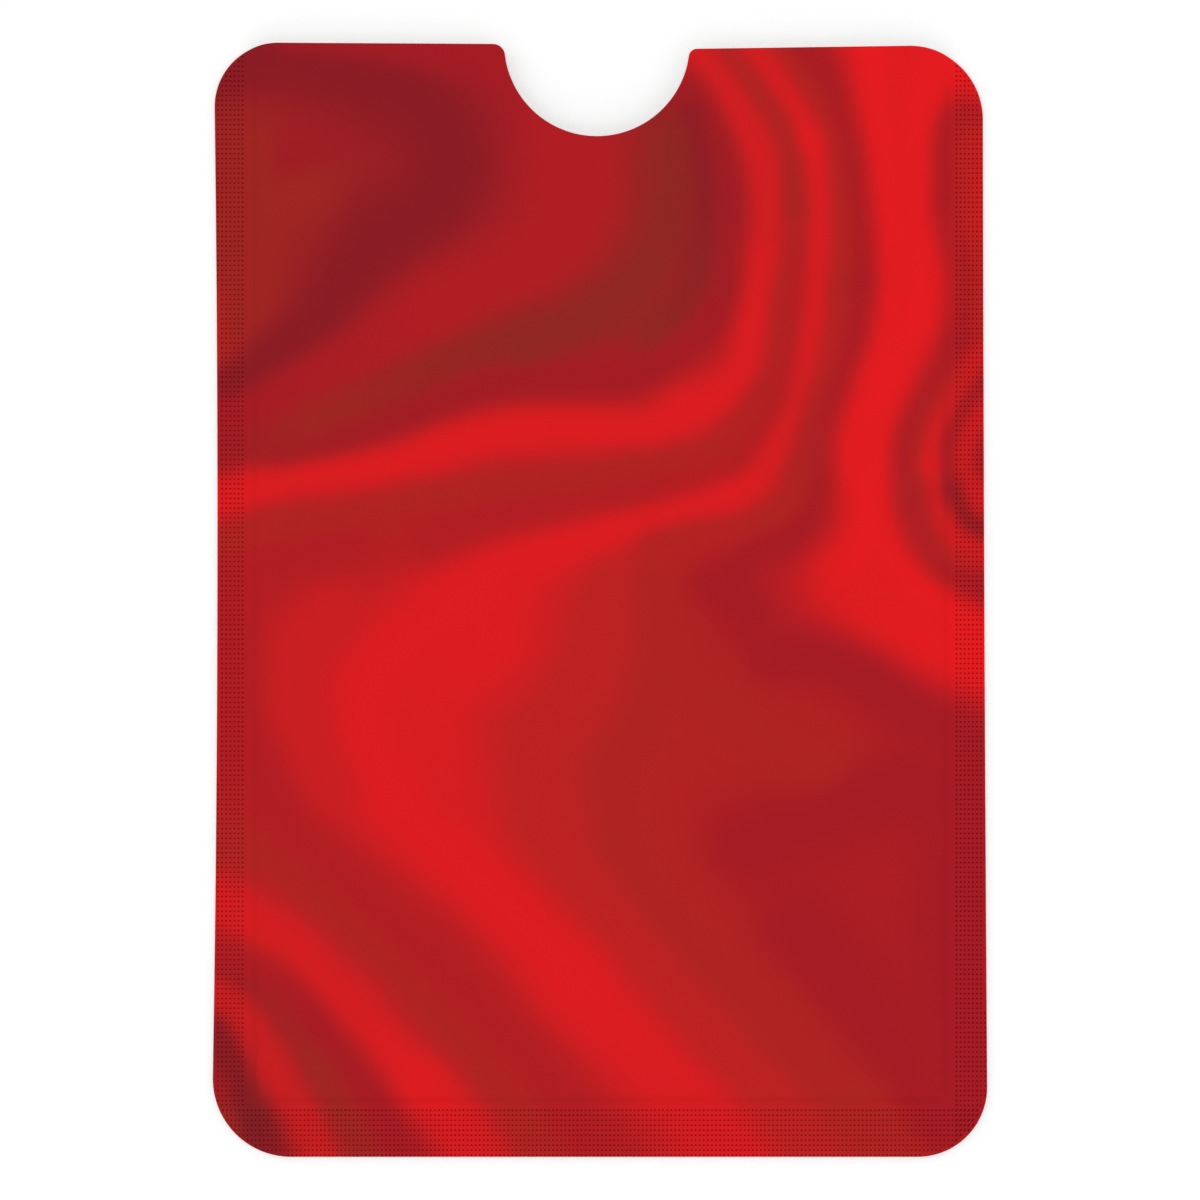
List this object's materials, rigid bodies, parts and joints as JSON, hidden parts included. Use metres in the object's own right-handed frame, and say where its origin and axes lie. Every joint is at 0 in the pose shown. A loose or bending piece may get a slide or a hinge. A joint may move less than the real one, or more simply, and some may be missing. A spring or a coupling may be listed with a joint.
{
  "type": "rfid card sleeve",
  "caption": "Flat laminated foil sleeve for one card, heat-sealed on three edges and open at one short end with a half-round thumb notch.",
  "frame": {"origin": "middle of the sleeve's box on the underside of the back film, which lies on the table", "axes": "+X to the right across the width seen from the front, +Y along the height towards the mouth and its thumb notch, +Z out of the front face"},
  "size_m": [0.0634, 0.0914, 0.0015],
  "materials": {
    "film": "satin",
    "foil": "satin",
    "liner": "matte",
    "seal": "matte"
  },
  "bodies": {
    "root": {"front_film": "film", "front_foil": "foil", "front_liner": "liner", "back_film": "film", "back_foil": "foil", "back_liner": "liner", "left_seal": "seal", "right_seal": "seal", "bottom_seal": "seal"}
  },
  "joints": []
}
